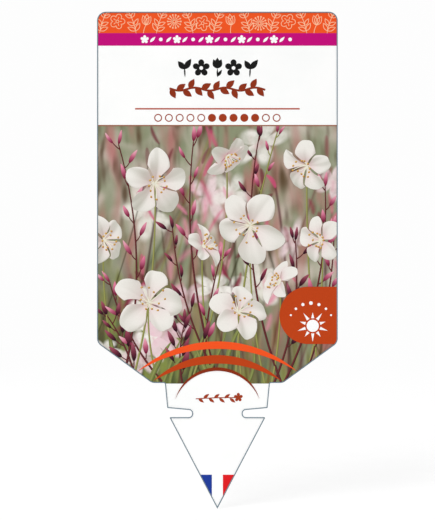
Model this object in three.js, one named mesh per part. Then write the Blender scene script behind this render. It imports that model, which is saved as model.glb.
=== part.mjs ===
// A push-in plant label for a potted garden plant: one sheet of stiff white plastic,
// cut out by a die. A tall printed card stands on a short neck, and the neck ends in a
// barbed lance that is pushed into the soil. Two side notches between the neck and the
// barbs let the label also sit in the slot of a pot rim or a tray.
// Units are millimetres. X runs to the right across the card, Y runs into the sheet
// from its printed front to its back, and Z points up. The origin is the middle of the
// sheet, level with the middle of the two notches.
import * as THREE from "three";

// The sheet
const SHEET_THICKNESS = 0.5;
const CUT_EDGE_ROUNDING = 0.06; // the die leaves the edge very slightly rounded
const CUT_EDGE_STEPS = 2;
const ARC_SEGMENTS = 4; // each rounded corner gets twice this many steps

// The card
const CARD_WIDTH = 80.5;
const CARD_TOP = 134.4; // height above the notches
const CARD_BOTTOM = 10.25;
const CARD_BOTTOM_WIDTH = 43.8; // between the two sloped lower corners
const SHOULDER_HEIGHT = 23.7; // where the straight sides meet the slopes
const CARD_CORNER_RADIUS = 3;

// The neck, a little narrower at its foot
const NECK_TOP_WIDTH = 35.2;
const NECK_FOOT_WIDTH = 33.6;
const NECK_FOOT_HEIGHT = 1.9;
const NECK_CORNER_RADIUS = 0.4;

// The two notches that run in from the sides and end round
const NOTCH_INNER_SPACING = 17; // the sheet that is left between them
const NOTCH_ROOF = 1.14; // at the inner end; from there it rises outwards
const NOTCH_FLOOR = -1.06;
const NOTCH_END_RADIUS = 1.07;

// The lance with its two barbs
const BARB_WIDTH = 32.3;
const LANCE_TIP = -31.85; // where the two edges would meet if the tip weren't rounded
const TIP_RADIUS = 0.1;
const SHARP_CORNER_RADIUS = 0.3;

// The corners of the right half, from the barb up to the top of the card
const RIGHT_CORNERS = [
  { x: BARB_WIDTH / 2, z: NOTCH_FLOOR, radius: SHARP_CORNER_RADIUS },
  { x: NOTCH_INNER_SPACING / 2, z: NOTCH_FLOOR, radius: NOTCH_END_RADIUS },
  { x: NOTCH_INNER_SPACING / 2, z: NOTCH_ROOF, radius: NOTCH_END_RADIUS },
  { x: NECK_FOOT_WIDTH / 2, z: NECK_FOOT_HEIGHT, radius: SHARP_CORNER_RADIUS },
  { x: NECK_TOP_WIDTH / 2, z: CARD_BOTTOM, radius: NECK_CORNER_RADIUS },
  { x: CARD_BOTTOM_WIDTH / 2, z: CARD_BOTTOM, radius: CARD_CORNER_RADIUS },
  { x: CARD_WIDTH / 2, z: SHOULDER_HEIGHT, radius: CARD_CORNER_RADIUS },
  { x: CARD_WIDTH / 2, z: CARD_TOP, radius: CARD_CORNER_RADIUS },
];

// The whole outline, counterclockwise as seen from the front
function labelCorners() {
  const tip = { x: 0, z: LANCE_TIP, radius: TIP_RADIUS };
  const left = RIGHT_CORNERS.map((corner) => ({ ...corner, x: -corner.x }));
  return [tip, ...RIGHT_CORNERS, ...left.reverse()];
}

// A closed shape through the corners, each one turned into an arc of its own radius
function roundedShape(corners) {
  const shape = new THREE.Shape();
  corners.forEach((corner, i) => {
    const before = corners[(i + corners.length - 1) % corners.length];
    const after = corners[(i + 1) % corners.length];
    const point = new THREE.Vector2(corner.x, corner.z);
    const back = new THREE.Vector2(before.x, before.z).sub(point).normalize();
    const ahead = new THREE.Vector2(after.x, after.z).sub(point).normalize();
    const halfAngle = Math.acos(back.dot(ahead)) / 2;
    const tangent = corner.radius / Math.tan(halfAngle);
    const middle = back.clone().add(ahead).normalize();
    const centre = middle.multiplyScalar(corner.radius / Math.sin(halfAngle)).add(point);
    const from = back.clone().multiplyScalar(tangent).add(point).sub(centre);
    const to = ahead.clone().multiplyScalar(tangent).add(point).sub(centre);
    const turnsRight = back.cross(ahead) > 0;
    shape.absarc(centre.x, centre.y, corner.radius, from.angle(), to.angle(), turnsRight);
  });
  shape.closePath();
  return shape;
}

// The die-cut sheet, its printed front facing -Y
function labelSheet() {
  const flatDepth = SHEET_THICKNESS - 2 * CUT_EDGE_ROUNDING;
  const geometry = new THREE.ExtrudeGeometry(roundedShape(labelCorners()), {
    depth: flatDepth,
    curveSegments: ARC_SEGMENTS,
    bevelEnabled: true,
    bevelThickness: CUT_EDGE_ROUNDING,
    bevelSize: CUT_EDGE_ROUNDING,
    bevelOffset: -CUT_EDGE_ROUNDING,
    bevelSegments: CUT_EDGE_STEPS,
  });
  const whitePlastic = new THREE.MeshStandardMaterial({
    color: 0xf7f8f8,
    roughness: 0.35,
    metalness: 0,
  });
  const sheet = new THREE.Mesh(geometry, whitePlastic);
  sheet.name = "label_sheet";
  sheet.rotation.x = Math.PI / 2;
  sheet.position.y = flatDepth / 2;
  return sheet;
}

const plantLabel = new THREE.Group();
plantLabel.add(labelSheet());

export default plantLabel;
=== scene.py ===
# %% [markdown]
# A printed push-in plant label, dressed for a photograph.
# The real thing is one sheet of stiff white plastic, half a millimetre thick, cut out by
# a die and printed on its front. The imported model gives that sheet. This lesson prints it:
# every area of ink is a very thin film of its own that lies on the sheet, and films that
# are printed over others lie a few hundredths of a millimetre further out.
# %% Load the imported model
import math
import random

import bmesh
import bpy
from mathutils import Matrix, Vector


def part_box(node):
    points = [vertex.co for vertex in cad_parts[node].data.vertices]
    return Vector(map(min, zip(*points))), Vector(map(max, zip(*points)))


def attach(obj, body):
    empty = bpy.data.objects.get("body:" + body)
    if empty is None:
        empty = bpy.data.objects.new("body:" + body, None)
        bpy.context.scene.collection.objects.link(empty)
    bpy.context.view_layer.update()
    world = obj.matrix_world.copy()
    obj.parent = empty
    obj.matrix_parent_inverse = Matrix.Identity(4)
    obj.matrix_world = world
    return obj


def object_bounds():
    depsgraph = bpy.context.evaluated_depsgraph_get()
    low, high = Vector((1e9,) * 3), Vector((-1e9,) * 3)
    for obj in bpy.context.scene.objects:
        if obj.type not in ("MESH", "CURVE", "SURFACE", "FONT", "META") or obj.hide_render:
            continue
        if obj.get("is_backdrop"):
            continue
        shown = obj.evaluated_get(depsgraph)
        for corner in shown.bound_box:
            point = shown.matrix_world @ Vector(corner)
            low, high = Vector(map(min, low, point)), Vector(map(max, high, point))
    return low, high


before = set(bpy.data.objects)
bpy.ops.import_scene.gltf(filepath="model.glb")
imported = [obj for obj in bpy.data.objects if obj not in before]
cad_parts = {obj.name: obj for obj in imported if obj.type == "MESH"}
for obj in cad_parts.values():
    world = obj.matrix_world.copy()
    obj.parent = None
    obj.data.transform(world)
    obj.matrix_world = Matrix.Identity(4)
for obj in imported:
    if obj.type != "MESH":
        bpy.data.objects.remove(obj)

cad_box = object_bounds()
SHEET = "label_sheet"
sheet_low, sheet_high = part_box(SHEET)
print("nodes:", sorted(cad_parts), "size in mm:", [round(1000 * s, 2) for s in sheet_high - sheet_low])

# %% [markdown]
# Print shops measure in millimetres, so the places of all prints are written in
# millimetres and turned into metres once. Heights count from the notches, as in the
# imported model, and the card's outer edges are read from it. Across, x counts from the
# middle of the card.
# %% Millimetres, and the places of the printed areas
MM = 0.001
CARD_HALF = sheet_high.x / MM
CARD_TOP = sheet_high.z / MM
TIP = sheet_low.z / MM
FRONT = sheet_low.y / MM
EDGE_ROUNDING = 0.06  # of the cut edge, which the inks stay inside

HEADER_HEIGHT = 7.2
BAND_HEIGHT = 4.2
HEADER_FOOT = CARD_TOP - HEADER_HEIGHT
BAND_FOOT = HEADER_FOOT - BAND_HEIGHT
PICTURE_TOP = 96.1
PICTURE_RULE = 0.42
CARD_FOOT = 10.25
SHOULDER = 23.7  # where the card's straight sides meet the slopes
FOOT_HALF = 21.9  # half the width of the card's lower edge
CORNER_RADIUS = 3.0
print("card half width", round(CARD_HALF, 2), "top", round(CARD_TOP, 2), "tip", round(TIP, 2))

# %% [markdown]
# Ink has hardly any thickness. On screen two films in the same plane would flicker, so
# each level of print lies one small step in front of the one below it. A film is made
# as a flat sheet of faces, and a Solidify modifier gives it its thickness down to the
# level that carries it, so that every film is a closed body and none of them floats.
# %% Levels of ink
INK_STEP = 0.02
LEVELS = ["sheet", "ground", "lines", "stems", "far_blooms", "near_blooms", "panels", "marks", "edge"]


def level(name):
    """The place in depth, in mm, of the front of a film on that level."""
    return FRONT - INK_STEP * LEVELS.index(name)


print("print stands", round(FRONT - level("edge"), 2), "mm proud of the sheet")


# %% [markdown]
# Colours are named as a printer would name inks, with the values that a screen shows.
# Blender wants them as light, so they are converted once.
# %% Inks
def ink(red, green, blue):
    """A screen colour from 0 to 255 as linear light."""
    channels = [c / 255 for c in (red, green, blue)]
    return tuple(c / 12.92 if c <= 0.04045 else ((c + 0.055) / 1.055) ** 2.4 for c in channels)


def blend(a, b, share):
    """The colour that lies share of the way from a to b."""
    share = min(1, max(0, share))
    return tuple(x + (y - x) * share for x, y in zip(a, b))


INKS = {
    "orange": ink(238, 84, 30),
    "peach": ink(255, 196, 158),
    "magenta": ink(194, 0, 120),
    "paper_white": ink(252, 252, 252),
    "rust": ink(188, 64, 16),
    "dark_rust": ink(136, 46, 14),
    "brown_rust": ink(160, 58, 26),
    "bright_orange": ink(242, 83, 30),
    "title_black": ink(20, 20, 20),
    "title_rust": ink(140, 48, 20),
    "rule_salmon": ink(182, 86, 64),
    "flag_blue": ink(28, 58, 152),
    "flag_red": ink(223, 26, 32),
    "die_line": ink(112, 130, 142),
    "picture_rule": ink(150, 92, 64),
}
print("inks:", ", ".join(INKS))


# %% [markdown]
# Every finish is built from nodes, so it needs small helpers that add a node, set what
# is constant on its sockets and link what varies. Most of them return the output that
# the next node takes, so that a finish reads from the inside out like a formula.
# %% Helpers for nodes
def feed(tree, node, inputs):
    """Feeds a node's inputs, by name or number: a socket is linked, and a value is set."""
    for name, value in inputs.items():
        socket = node.inputs[name]
        if isinstance(value, bpy.types.NodeSocket):
            tree.links.new(value, socket)
        elif socket.type == "RGBA":
            socket.default_value = (*value, 1)
        else:
            socket.default_value = value
    return node


def add_node(tree, kind, *values, settings=None, **inputs):
    """Adds a node and feeds its inputs, in their order by values and by name by inputs."""
    node = tree.nodes.new(kind)
    for name, value in (settings or {}).items():
        setattr(node, name, value)
    return feed(tree, node, {**dict(enumerate(values)), **inputs})


def math_node(tree, operation, *values):
    return add_node(tree, "ShaderNodeMath", *values, settings={"operation": operation}).outputs[0]


def times(tree, value, factor):
    return math_node(tree, "MULTIPLY", value, factor)


def rest_of_one(tree, share):
    return math_node(tree, "SUBTRACT", 1.0, share)


def vector_node(tree, operation, *values, **inputs):
    node = add_node(tree, "ShaderNodeVectorMath", *values, settings={"operation": operation}, **inputs)
    return node.outputs["Value" if operation in ("DOT_PRODUCT", "LENGTH") else "Vector"]


def scaled(tree, vector, factor):
    return vector_node(tree, "SCALE", vector, Scale=factor)


def split(tree, vector):
    return add_node(tree, "ShaderNodeSeparateXYZ", vector).outputs


# %% [markdown]
# Colours need three helpers more: one mixes two of them, one turns a number into a grey,
# and one maps a range of numbers to another, softly if asked. Patterns and reliefs are
# all laid out on the object's own coordinates, in millimetres.
# %% Helpers for colours and patterns
def mix_colour(tree, share, low, high, kind="MIX"):
    """Mixes colours, for which a Mix node has its inputs 6 and 7 and its output 2."""
    node = add_node(tree, "ShaderNodeMix", settings={"data_type": "RGBA", "blend_type": kind})
    return feed(tree, node, {0: share, 6: low, 7: high}).outputs[2]


def grey(tree, value):
    return add_node(tree, "ShaderNodeCombineColor", value, value, value).outputs[0]


def spread(tree, value, low, high, to_low, to_high, smooth=False):
    settings = {"interpolation_type": "SMOOTHSTEP" if smooth else "LINEAR"}
    node = add_node(tree, "ShaderNodeMapRange", value, low, high, to_low, to_high, settings=settings)
    return node.outputs[0]


def object_point(tree):
    """The point on the object in millimetres."""
    return scaled(tree, add_node(tree, "ShaderNodeTexCoord").outputs["Object"], 1 / MM)


def noise(tree, point, scale, detail=2.0, roughness=0.5, distortion=0.0):
    return add_node(tree, "ShaderNodeTexNoise", Vector=point, Scale=scale, Detail=detail,
                    Roughness=roughness, Distortion=distortion).outputs[0]


def noise_range(tree, pattern, low, high):
    """Brings a noise to a range. Most of what a noise gives lies between 0.3 and 0.7."""
    return spread(tree, pattern, 0.3, 0.7, low, high)


def relief(tree, height, strength, depth):
    """A bumpy surface as deep as depth, in millimetres."""
    return add_node(tree, "ShaderNodeBump", Strength=strength, Distance=depth * MM, Height=height).outputs[0]


def new_material(name):
    """A material, its node tree and its shader."""
    material = bpy.data.materials.new(name)
    material.use_nodes = True
    return material, material.node_tree, material.node_tree.nodes["Principled BSDF"]


# %% [markdown]
# The sheet itself is calendered white plastic: nearly smooth, with a satin shine, a faint
# unevenness of tone and fine lines along the way it was rolled. Where the die went through
# the edge is duller. The back, which is not coated for print, is matt, and painted shade
# makes it a little greyer, as the side that faces away from the lamp. Both are found from
# the direction that the surface faces, so no second piece is needed for them.
# %% The white plastic of the sheet
SHEET_TONE = ink(247, 248, 247)
SHEET_LIGHT = ink(251, 251, 250)
# painted shade: the tone of the back, which faces away from the lamp
SHEET_BACK_SHADE = ink(242, 242, 241)
CUT_EDGE = ink(232, 234, 233)
ROLLED_OUT = (1.6, 1.6, 0.05)
SQUARE_ON = (0.35, 0.9)  # from a surface that is turned away to one that counts as facing us
BACK_DULLNESS = 0.7  # where the cut edge has 1
DULL_ROUGHNESS = 0.25  # what full dullness adds to the roughness


def white_plastic():
    material, tree, shader = new_material("white_plastic")
    point = object_point(tree)
    cloud = noise(tree, point, 0.06, 3.0)
    rolled = noise(tree, vector_node(tree, "MULTIPLY", point, ROLLED_OUT), 1.0, 3.0)
    grain = noise(tree, point, 2.6, 4.0)
    tone = mix_colour(tree, spread(tree, cloud, 0.35, 0.65, 0, 1), SHEET_TONE, SHEET_LIGHT)
    facing = split(tree, add_node(tree, "ShaderNodeNewGeometry").outputs["Normal"])["Y"]
    back = spread(tree, facing, *SQUARE_ON, 0, 1)
    # painted shade: where the surface faces backwards, away from the lamp, its tone is mixed greyer
    tone = mix_colour(tree, back, tone, SHEET_BACK_SHADE)
    cut = spread(tree, math_node(tree, "ABSOLUTE", facing), *SQUARE_ON, 1, 0)
    satin = math_node(tree, "ADD", noise_range(tree, grain, 0.30, 0.38), noise_range(tree, rolled, 0, 0.06))
    dull = math_node(tree, "MAXIMUM", cut, times(tree, back, BACK_DULLNESS))
    height = math_node(tree, "MULTIPLY_ADD", rolled, 0.6, grain)
    feed(tree, shader, {
        "Base Color": mix_colour(tree, cut, tone, CUT_EDGE),
        "Roughness": math_node(tree, "MULTIPLY_ADD", dull, DULL_ROUGHNESS, satin),
        "Normal": relief(tree, height, 0.08, 0.02),
        "Specular IOR Level": 0.35,
    })
    return material


plastic = white_plastic()
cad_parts[SHEET].data.materials.clear()
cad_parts[SHEET].data.materials.append(plastic)
print("the sheet is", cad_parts[SHEET].data.materials[0].name)

# %% [markdown]
# A flat area of ink is never quite even: the press leaves a fine mottle, and the ink's
# shine varies with it. One function makes that finish in one colour, or in whatever
# colours a given set of nodes paints.
# %% Printing ink
MOTTLE = 0.04


def ink_finish(name, paint):
    """A satin print ink; paint is its colour, or a function that adds nodes and returns their colour."""
    material, tree, shader = new_material(name)
    point = object_point(tree)
    grain = noise(tree, point, 3.2, 3.0, 0.6)
    drift = noise(tree, point, 0.09)
    colour = paint(tree) if callable(paint) else paint
    uneven = math_node(tree, "ADD", noise_range(tree, grain, -0.6, 0.6), noise_range(tree, drift, -0.4, 0.4))
    strength = grey(tree, math_node(tree, "MULTIPLY_ADD", uneven, MOTTLE, 1 - MOTTLE))
    feed(tree, shader, {
        "Base Color": mix_colour(tree, 1.0, colour, strength, "MULTIPLY"),
        "Roughness": noise_range(tree, grain, 0.36, 0.48),
        "Normal": relief(tree, grain, 0.05, 0.01),
        "Specular IOR Level": 0.1,
    })
    return material


finishes = {name: ink_finish(f"{name}_ink", colour) for name, colour in INKS.items()}
print(len(finishes), "finishes of one ink each")


# %% [markdown]
# Small functions turn a drawing into a piece. A film keeps its outer face where the
# drawing put it, and grows down to the level that carries it. Every piece rides on the
# label's only body and takes one finish.
# %% From a drawing to a film of ink
def add_object(name, data):
    """Puts an object with this data into the scene."""
    thing = bpy.data.objects.new(name, data)
    bpy.context.scene.collection.objects.link(thing)
    return thing


def mesh_object(name, bm, finish):
    """Puts what bm holds into the scene, in one finish."""
    mesh = bpy.data.meshes.new(name)
    bm.to_mesh(mesh)
    bm.free()
    mesh.materials.append(finish)
    print(name, len(mesh.polygons), "faces")
    return add_object(name, mesh)


def new_piece(name, bm, finish):
    """Puts a drawing into the scene as a piece that rides on the label."""
    piece = mesh_object(name, bm, finish)
    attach(piece, "root")
    return piece


def film(name, bm, finish, top, base="sheet"):
    """A closed film from the faces in bm, which lie at the level top, down to the level base."""
    for face in bm.faces:
        face.normal_update()
        if face.normal.y > 0:
            face.normal_flip()
    solid = new_piece(name, bm, finish).modifiers.new("film", "SOLIDIFY")
    solid.thickness = (level(base) - level(top)) * MM
    solid.offset = -1


# %% [markdown]
# The printed zones end exactly at the cut edge of the sheet, so they are cut from the
# sheet's own front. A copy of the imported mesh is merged, everything but its front is
# deleted, and a zone is what lies between two heights. The plane cuts are the bisect
# tool of the mesh editor.
# %% Zones cut from the sheet's front
ON_PLANE = 1e-9  # in metres; points nearer to a plane than this lie on it
MERGE_DISTANCE = 1e-6
FORWARD = -0.999  # the y of a normal that points straight out of the printed front


def keep_side(bm, point, away):
    """Cuts bm by a plane and deletes what lies on the side that away points to."""
    everything = bm.verts[:] + bm.edges[:] + bm.faces[:]
    bmesh.ops.bisect_plane(bm, geom=everything, dist=ON_PLANE, plane_co=Vector(point) * MM,
                           plane_no=Vector(away), clear_outer=True)


def front_of_sheet(top):
    """The front face of the sheet, brought to that level."""
    bm = bmesh.new()
    bm.from_mesh(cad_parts[SHEET].data)
    bmesh.ops.remove_doubles(bm, verts=bm.verts[:], dist=MERGE_DISTANCE)
    bm.normal_update()
    others = [face for face in bm.faces if face.normal.y > FORWARD]
    bmesh.ops.delete(bm, geom=others, context="FACES")
    for vert in bm.verts:
        vert.co.y = level(top) * MM
    return bm


def zone(foot, top):
    """The sheet's front between two heights, as a drawing for the ground level."""
    bm = front_of_sheet("ground")
    keep_side(bm, (0, 0, foot), (0, 0, -1))
    keep_side(bm, (0, 0, top), (0, 0, 1))
    bmesh.ops.dissolve_limit(bm, angle_limit=math.radians(1), verts=bm.verts[:], edges=bm.edges[:])
    bm.normal_update()
    bmesh.ops.triangulate(bm, faces=bm.faces[:])
    return bm


# %% [markdown]
# The dome at the foot of the picture is not printed: the ink stops there and shows the
# bare plastic. The Boolean modifier needs closed shapes, and these are flat faces, so the
# arc is a chain of short straight cuts. Each cut splits only the faces that were inside all
# the cuts before it, and what is inside the last one is deleted.
# %% A dome knocked out of the ink
ARC_STEPS = 48
BOW_TIP = (14.0, 5.0)
DOME_TOP = 14.7


def spot(x, z):
    """A point of the drawing, in mm across and up."""
    return Vector((x, 0, z))


def arc_over(tip, top):
    """The points on the arc that rises to the height top between tips on both sides of the middle."""
    rise = top - tip[1]
    radius = (tip[0] ** 2 + rise ** 2) / (2 * rise)
    half_angle = math.atan2(tip[0], radius - rise)
    angles = [half_angle * (2 * i / ARC_STEPS - 1) for i in range(ARC_STEPS + 1)]
    return [(radius * math.sin(angle), top - radius + radius * math.cos(angle)) for angle in angles]


def knock_out_dome(bm):
    """Takes the dome out of a drawing that is in metres."""
    inside = bm.faces[:]
    arc = arc_over(BOW_TIP, DOME_TOP)
    for (x, z), (next_x, next_z) in zip(arc, arc[1:]):
        point = spot(x, z) * MM
        outwards = spot(z - next_z, next_x - x)
        parts = dict.fromkeys(part for face in inside for part in (*face.verts, *face.edges, face))
        cut = bmesh.ops.bisect_plane(bm, geom=list(parts), dist=ON_PLANE, plane_co=point, plane_no=outwards)
        faces = [part for part in cut["geom"] if isinstance(part, bmesh.types.BMFace)]
        inside = [face for face in faces if (face.calc_center_median() - point).dot(outwards) < 0]
    bmesh.ops.delete(bm, geom=inside, context="FACES")


# %% [markdown]
# Three printed zones need no more than that: the header, the band below it and the thin
# rule over the picture. They could be plain rectangles, but cut from the sheet they follow
# its rounded corners to the point.
# %% Header, band and rule
film("header_orange", zone(HEADER_FOOT, CARD_TOP), finishes["orange"], "ground")
film("band_magenta", zone(BAND_FOOT, HEADER_FOOT), finishes["magenta"], "ground")
film("picture_rule", zone(PICTURE_TOP, PICTURE_TOP + PICTURE_RULE), finishes["picture_rule"], "ground")

# %% [markdown]
# The picture shows a flowering border close up, and most of it is out of focus. Soft
# shapes have no edge that a mesh could follow, so the blurred ground is one finish that
# paints them: a node group covers a point by its distance to a bent stroke, and fades out
# over the width that the lens would blur it to.
# %% A soft stroke as a node group
def new_group(name, vectors, numbers):
    """An empty node group with these inputs and one output, Cover, and what it is given."""
    group = bpy.data.node_groups.new(name, "ShaderNodeTree")
    for kind, names in (("Vector", vectors), ("Float", numbers)):
        for socket_name in names:
            group.interface.new_socket(socket_name, in_out="INPUT", socket_type=f"NodeSocket{kind}")
    group.interface.new_socket("Cover", in_out="OUTPUT", socket_type="NodeSocketFloat")
    return group, group.nodes.new("NodeGroupInput").outputs


def close_group(group, distance, edge, soft):
    """Ends a group: covered inside the edge, fading out over soft on both sides of it."""
    inner = math_node(group, "SUBTRACT", edge, soft)
    outer = math_node(group, "ADD", edge, soft)
    cover = spread(group, distance, inner, outer, 1, 0, smooth=True)
    group.links.new(cover, group.nodes.new("NodeGroupOutput").inputs["Cover"])
    return group


def soft_stroke_group():
    """Covers a stroke from Start to End that bows sideways by Bend and narrows at its ends by Taper."""
    group, given = new_group("soft stroke", ("Point", "Start", "End"), ("Bend", "Width", "Soft", "Taper"))
    run = vector_node(group, "SUBTRACT", given["End"], given["Start"])
    offset = vector_node(group, "SUBTRACT", given["Point"], given["Start"])
    along = math_node(group, "DIVIDE", vector_node(group, "DOT_PRODUCT", offset, run),
                      vector_node(group, "DOT_PRODUCT", run, run))
    share = add_node(group, "ShaderNodeClamp", along).outputs[0]
    bow = times(group, rest_of_one(group, share), times(group, share, 4.0))
    sideways = vector_node(group, "NORMALIZE", vector_node(group, "CROSS_PRODUCT", run, (0, 1, 0)))
    swing = scaled(group, sideways, times(group, bow, given["Bend"]))
    nearest = vector_node(group, "ADD", scaled(group, run, share), swing)
    distance = vector_node(group, "LENGTH", vector_node(group, "SUBTRACT", offset, nearest))
    thin = times(group, given["Taper"], rest_of_one(group, math_node(group, "SQRT", bow)))
    half = times(group, given["Width"], rest_of_one(group, thin))
    return close_group(group, distance, half, given["Soft"])


# %% [markdown]
# A blurred blossom is a soft disc whose edge swings in and out once for each petal. The
# same group draws five petals when it is in its own plane, and narrower ones when Squash
# tips it away.
# %% A soft blossom as a node group
PETALS = 5


def soft_bloom_group():
    """Covers a five-petal blossom at Centre; Turn is in radians, and Squash flattens it."""
    group, given = new_group("soft bloom", ("Point", "Centre"), ("Turn", "Radius", "Squash", "Soft"))
    offset = vector_node(group, "SUBTRACT", given["Point"], given["Centre"])
    rotated = add_node(group, "ShaderNodeVectorRotate", settings={"rotation_type": "Y_AXIS"},
                       Vector=offset, Angle=given["Turn"])
    parts = split(group, rotated.outputs[0])
    flat = math_node(group, "DIVIDE", parts["Z"], given["Squash"])
    squares = math_node(group, "ADD", *[math_node(group, "POWER", part, 2.0) for part in (parts["X"], flat)])
    angle = math_node(group, "ARCTAN2", flat, parts["X"])
    lobe = math_node(group, "ABSOLUTE", math_node(group, "COSINE", times(group, angle, PETALS / 2)))
    edge = times(group, given["Radius"], math_node(group, "MULTIPLY_ADD", lobe, 0.62, 0.38))
    return close_group(group, math_node(group, "SQRT", squares), edge, given["Soft"])


# %% [markdown]
# The ground is painted from back to front, as a painter would. First come clouds of sage,
# cream and dusty rose with olive streaks, drawn out along the way the stems lean, and some
# grass at the foot, thickest on the left.
# %% Clouds of colour behind everything
PICTURE_FOOT = CARD_FOOT - 0.15  # the ground runs on a hair over the neck
SAGE = ink(137, 143, 114)
PALE_SAGE = ink(176, 181, 155)
CREAM = ink(206, 194, 182)
DUSTY_ROSE = ink(182, 110, 110)
OLIVE_BROWN = ink(84, 60, 36)
GRASS = ink(128, 140, 66)
DEEP_GRASS = ink(62, 70, 32)
STEM_LEAN = math.radians(12)
DRAWN_OUT = (1, 1, 0.28)


def clouds(tree, point):
    mapping = add_node(tree, "ShaderNodeMapping", Vector=point, Rotation=(0, STEM_LEAN, 0), Scale=DRAWN_OUT)
    lean = mapping.outputs[0]
    wide = noise(tree, point, 0.055, 2.0, 0.5, 0.5)
    drawn = noise(tree, lean, 0.15, 1.2, 0.5, 0.3)
    streak = noise(tree, lean, 0.32, 0.8, 0.5, 0.2)
    tone = SAGE
    for pattern, start, full, strength, colour in (
        (wide, 0.42, 0.72, 0.95, CREAM),
        (drawn, 0.44, 0.80, 0.85, DUSTY_ROSE),
        (drawn, 0.46, 0.20, 0.7, PALE_SAGE),
        (streak, 0.46, 0.80, 0.9, OLIVE_BROWN),
    ):
        tone = mix_colour(tree, spread(tree, pattern, start, full, 0, strength, True), tone, colour)
    parts = split(tree, point)
    height = math_node(tree, "MULTIPLY_ADD", parts["X"], 0.45, parts["Z"])
    low = spread(tree, math_node(tree, "MULTIPLY_ADD", wide, -40.0, height), 34, -14, 0, 0.9, True)
    grass = mix_colour(tree, spread(tree, streak, 0.36, 0.64, 0, 1, True), DEEP_GRASS, GRASS)
    return mix_colour(tree, low, tone, grass)


# %% [markdown]
# Then a seeded draw sets out what the lens blurs: stems with slender buds near their
# tops, and behind and between them whole blossoms. The seed makes the picture come out
# the same each time. A shape is the name of its group, its sockets, a colour and how
# strongly it covers.
# %% The draw of blurred shapes
STEM_TONES = [
    ink(90, 78, 40), ink(62, 20, 28), ink(104, 36, 46), ink(136, 134, 80), ink(54, 52, 24), ink(78, 20, 34),
]
BUD_TONES = [ink(206, 72, 118), ink(226, 136, 162), ink(138, 32, 62), ink(222, 104, 132), ink(110, 24, 46)]
BLOOM_TONES = [ink(242, 238, 231), ink(238, 216, 218), ink(236, 232, 222), ink(232, 198, 206)]
BLOOM_HEART = ink(206, 132, 146)
SOFT_STEMS = 41  # they give a chain of 176 shapes; one of 208 was too long and came out black
BORDER_SEED = 23


def heading(turn, length):
    return spot(math.cos(turn), math.sin(turn)) * length


def soft_line(start, end, bend, width, soft, taper):
    """The sockets of a soft stroke."""
    return {"Start": start, "End": end, "Bend": bend, "Width": width, "Soft": soft, "Taper": taper}


def soft_stem(draw):
    """A blurred stem with a few slender buds near its top."""
    foot = spot(draw.uniform(-52, 50), PICTURE_FOOT - 8)
    top = foot + spot(draw.uniform(-26, 30), draw.uniform(34, 92))
    bend = draw.uniform(-5, 5)
    blur = draw.uniform(0.35, 1.6)
    stem = soft_line(foot, top, bend, draw.uniform(0.12, 0.45), blur, 0.2)
    shapes = [("stroke", stem, draw.choice(STEM_TONES), draw.uniform(0.5, 0.95))]
    lean = math.atan2(top.z - foot.z, top.x - foot.x)
    tone = draw.choice(BUD_TONES)
    for i in range(draw.randint(1, 4)):
        node = foot.lerp(top, 1 - 0.11 * i)
        turn = lean + draw.uniform(0.15, 0.6) * (-1) ** i
        end = node + heading(turn, draw.uniform(4.5, 9))
        bend = draw.uniform(-0.5, 0.5)
        bud = soft_line(node, end, bend, draw.uniform(0.4, 0.9), blur * draw.uniform(0.7, 1.1), 0.9)
        shapes.append(("stroke", bud, tone, draw.uniform(0.5, 0.85)))
    return shapes


def soft_bloom(draw):
    """A blurred blossom with a rosy heart."""
    centre = spot(draw.uniform(-40, 40), draw.uniform(16, 96))
    radius = draw.uniform(6, 10.5)
    blur = draw.uniform(0.7, 2.2)
    petals = {"Centre": centre, "Turn": draw.uniform(0, math.tau), "Radius": radius,
              "Squash": draw.uniform(0.5, 1), "Soft": blur}
    end = centre + spot(draw.uniform(-2, 2), draw.uniform(-3, -1))
    heart = soft_line(centre, end, 0.0, 0.3, blur, 0.0)
    return [("bloom", petals, draw.choice(BLOOM_TONES), draw.uniform(0.8, 1.0)),
            ("stroke", heart, BLOOM_HEART, draw.uniform(0.3, 0.7))]


draw = random.Random(BORDER_SEED)
soft_shapes = []
for i in range(SOFT_STEMS):
    soft_shapes += soft_stem(draw)
    if i % 3 == 1:
        soft_shapes += soft_bloom(draw)
print(len(soft_shapes), "blurred shapes")

# %% [markdown]
# The shapes are laid over the clouds one after the other, each by a mix whose share is
# how much it covers there. A slow noise makes the blossoms uneven, as petals in and out
# of the light are.
# %% The blurred ground of the picture
GROUPS = {"stroke": soft_stroke_group(), "bloom": soft_bloom_group()}


def blurred_border(tree):
    flat = vector_node(tree, "MULTIPLY", object_point(tree), (1, 0, 1))
    tone = clouds(tree, flat)
    shade = spread(tree, noise(tree, flat, 0.3, 2.0), 0.35, 0.65, 0.6, 1.05)
    for kind, sockets, colour, strength in soft_shapes:
        shape = add_node(tree, "ShaderNodeGroup", settings={"node_tree": GROUPS[kind]}, Point=flat, **sockets)
        cover = times(tree, shape.outputs["Cover"], strength)
        if kind == "bloom":
            cover = times(tree, cover, shade)
        tone = mix_colour(tree, cover, tone, colour)
    return tone


bm = zone(PICTURE_FOOT, PICTURE_TOP)
knock_out_dome(bm)
film("picture_ground", bm, ink_finish("blurred_border", blurred_border), "ground")


# %% [markdown]
# What is in focus has crisp edges, so it is drawn with faces. Each petal, bud and stem is
# modelled as a small shape with real depth and lit by a sun that exists only in the
# picture; the light on each point is stored as its ink colour, and the shape is then
# pressed flat. Its depth stays as a trace, which keeps the nearer petals on top.
# %% Patches that are modelled and lit
SUN_IN_PICTURE = Vector((-0.42, -0.62, 0.66)).normalized()
INK_COLOURS = "ink_colour"
NUDGE = 0.01
NO_AREA = 1e-12
HALF_LIT = 0.5  # for the ends of strokes, where a patch has no area and so faces nowhere


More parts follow.
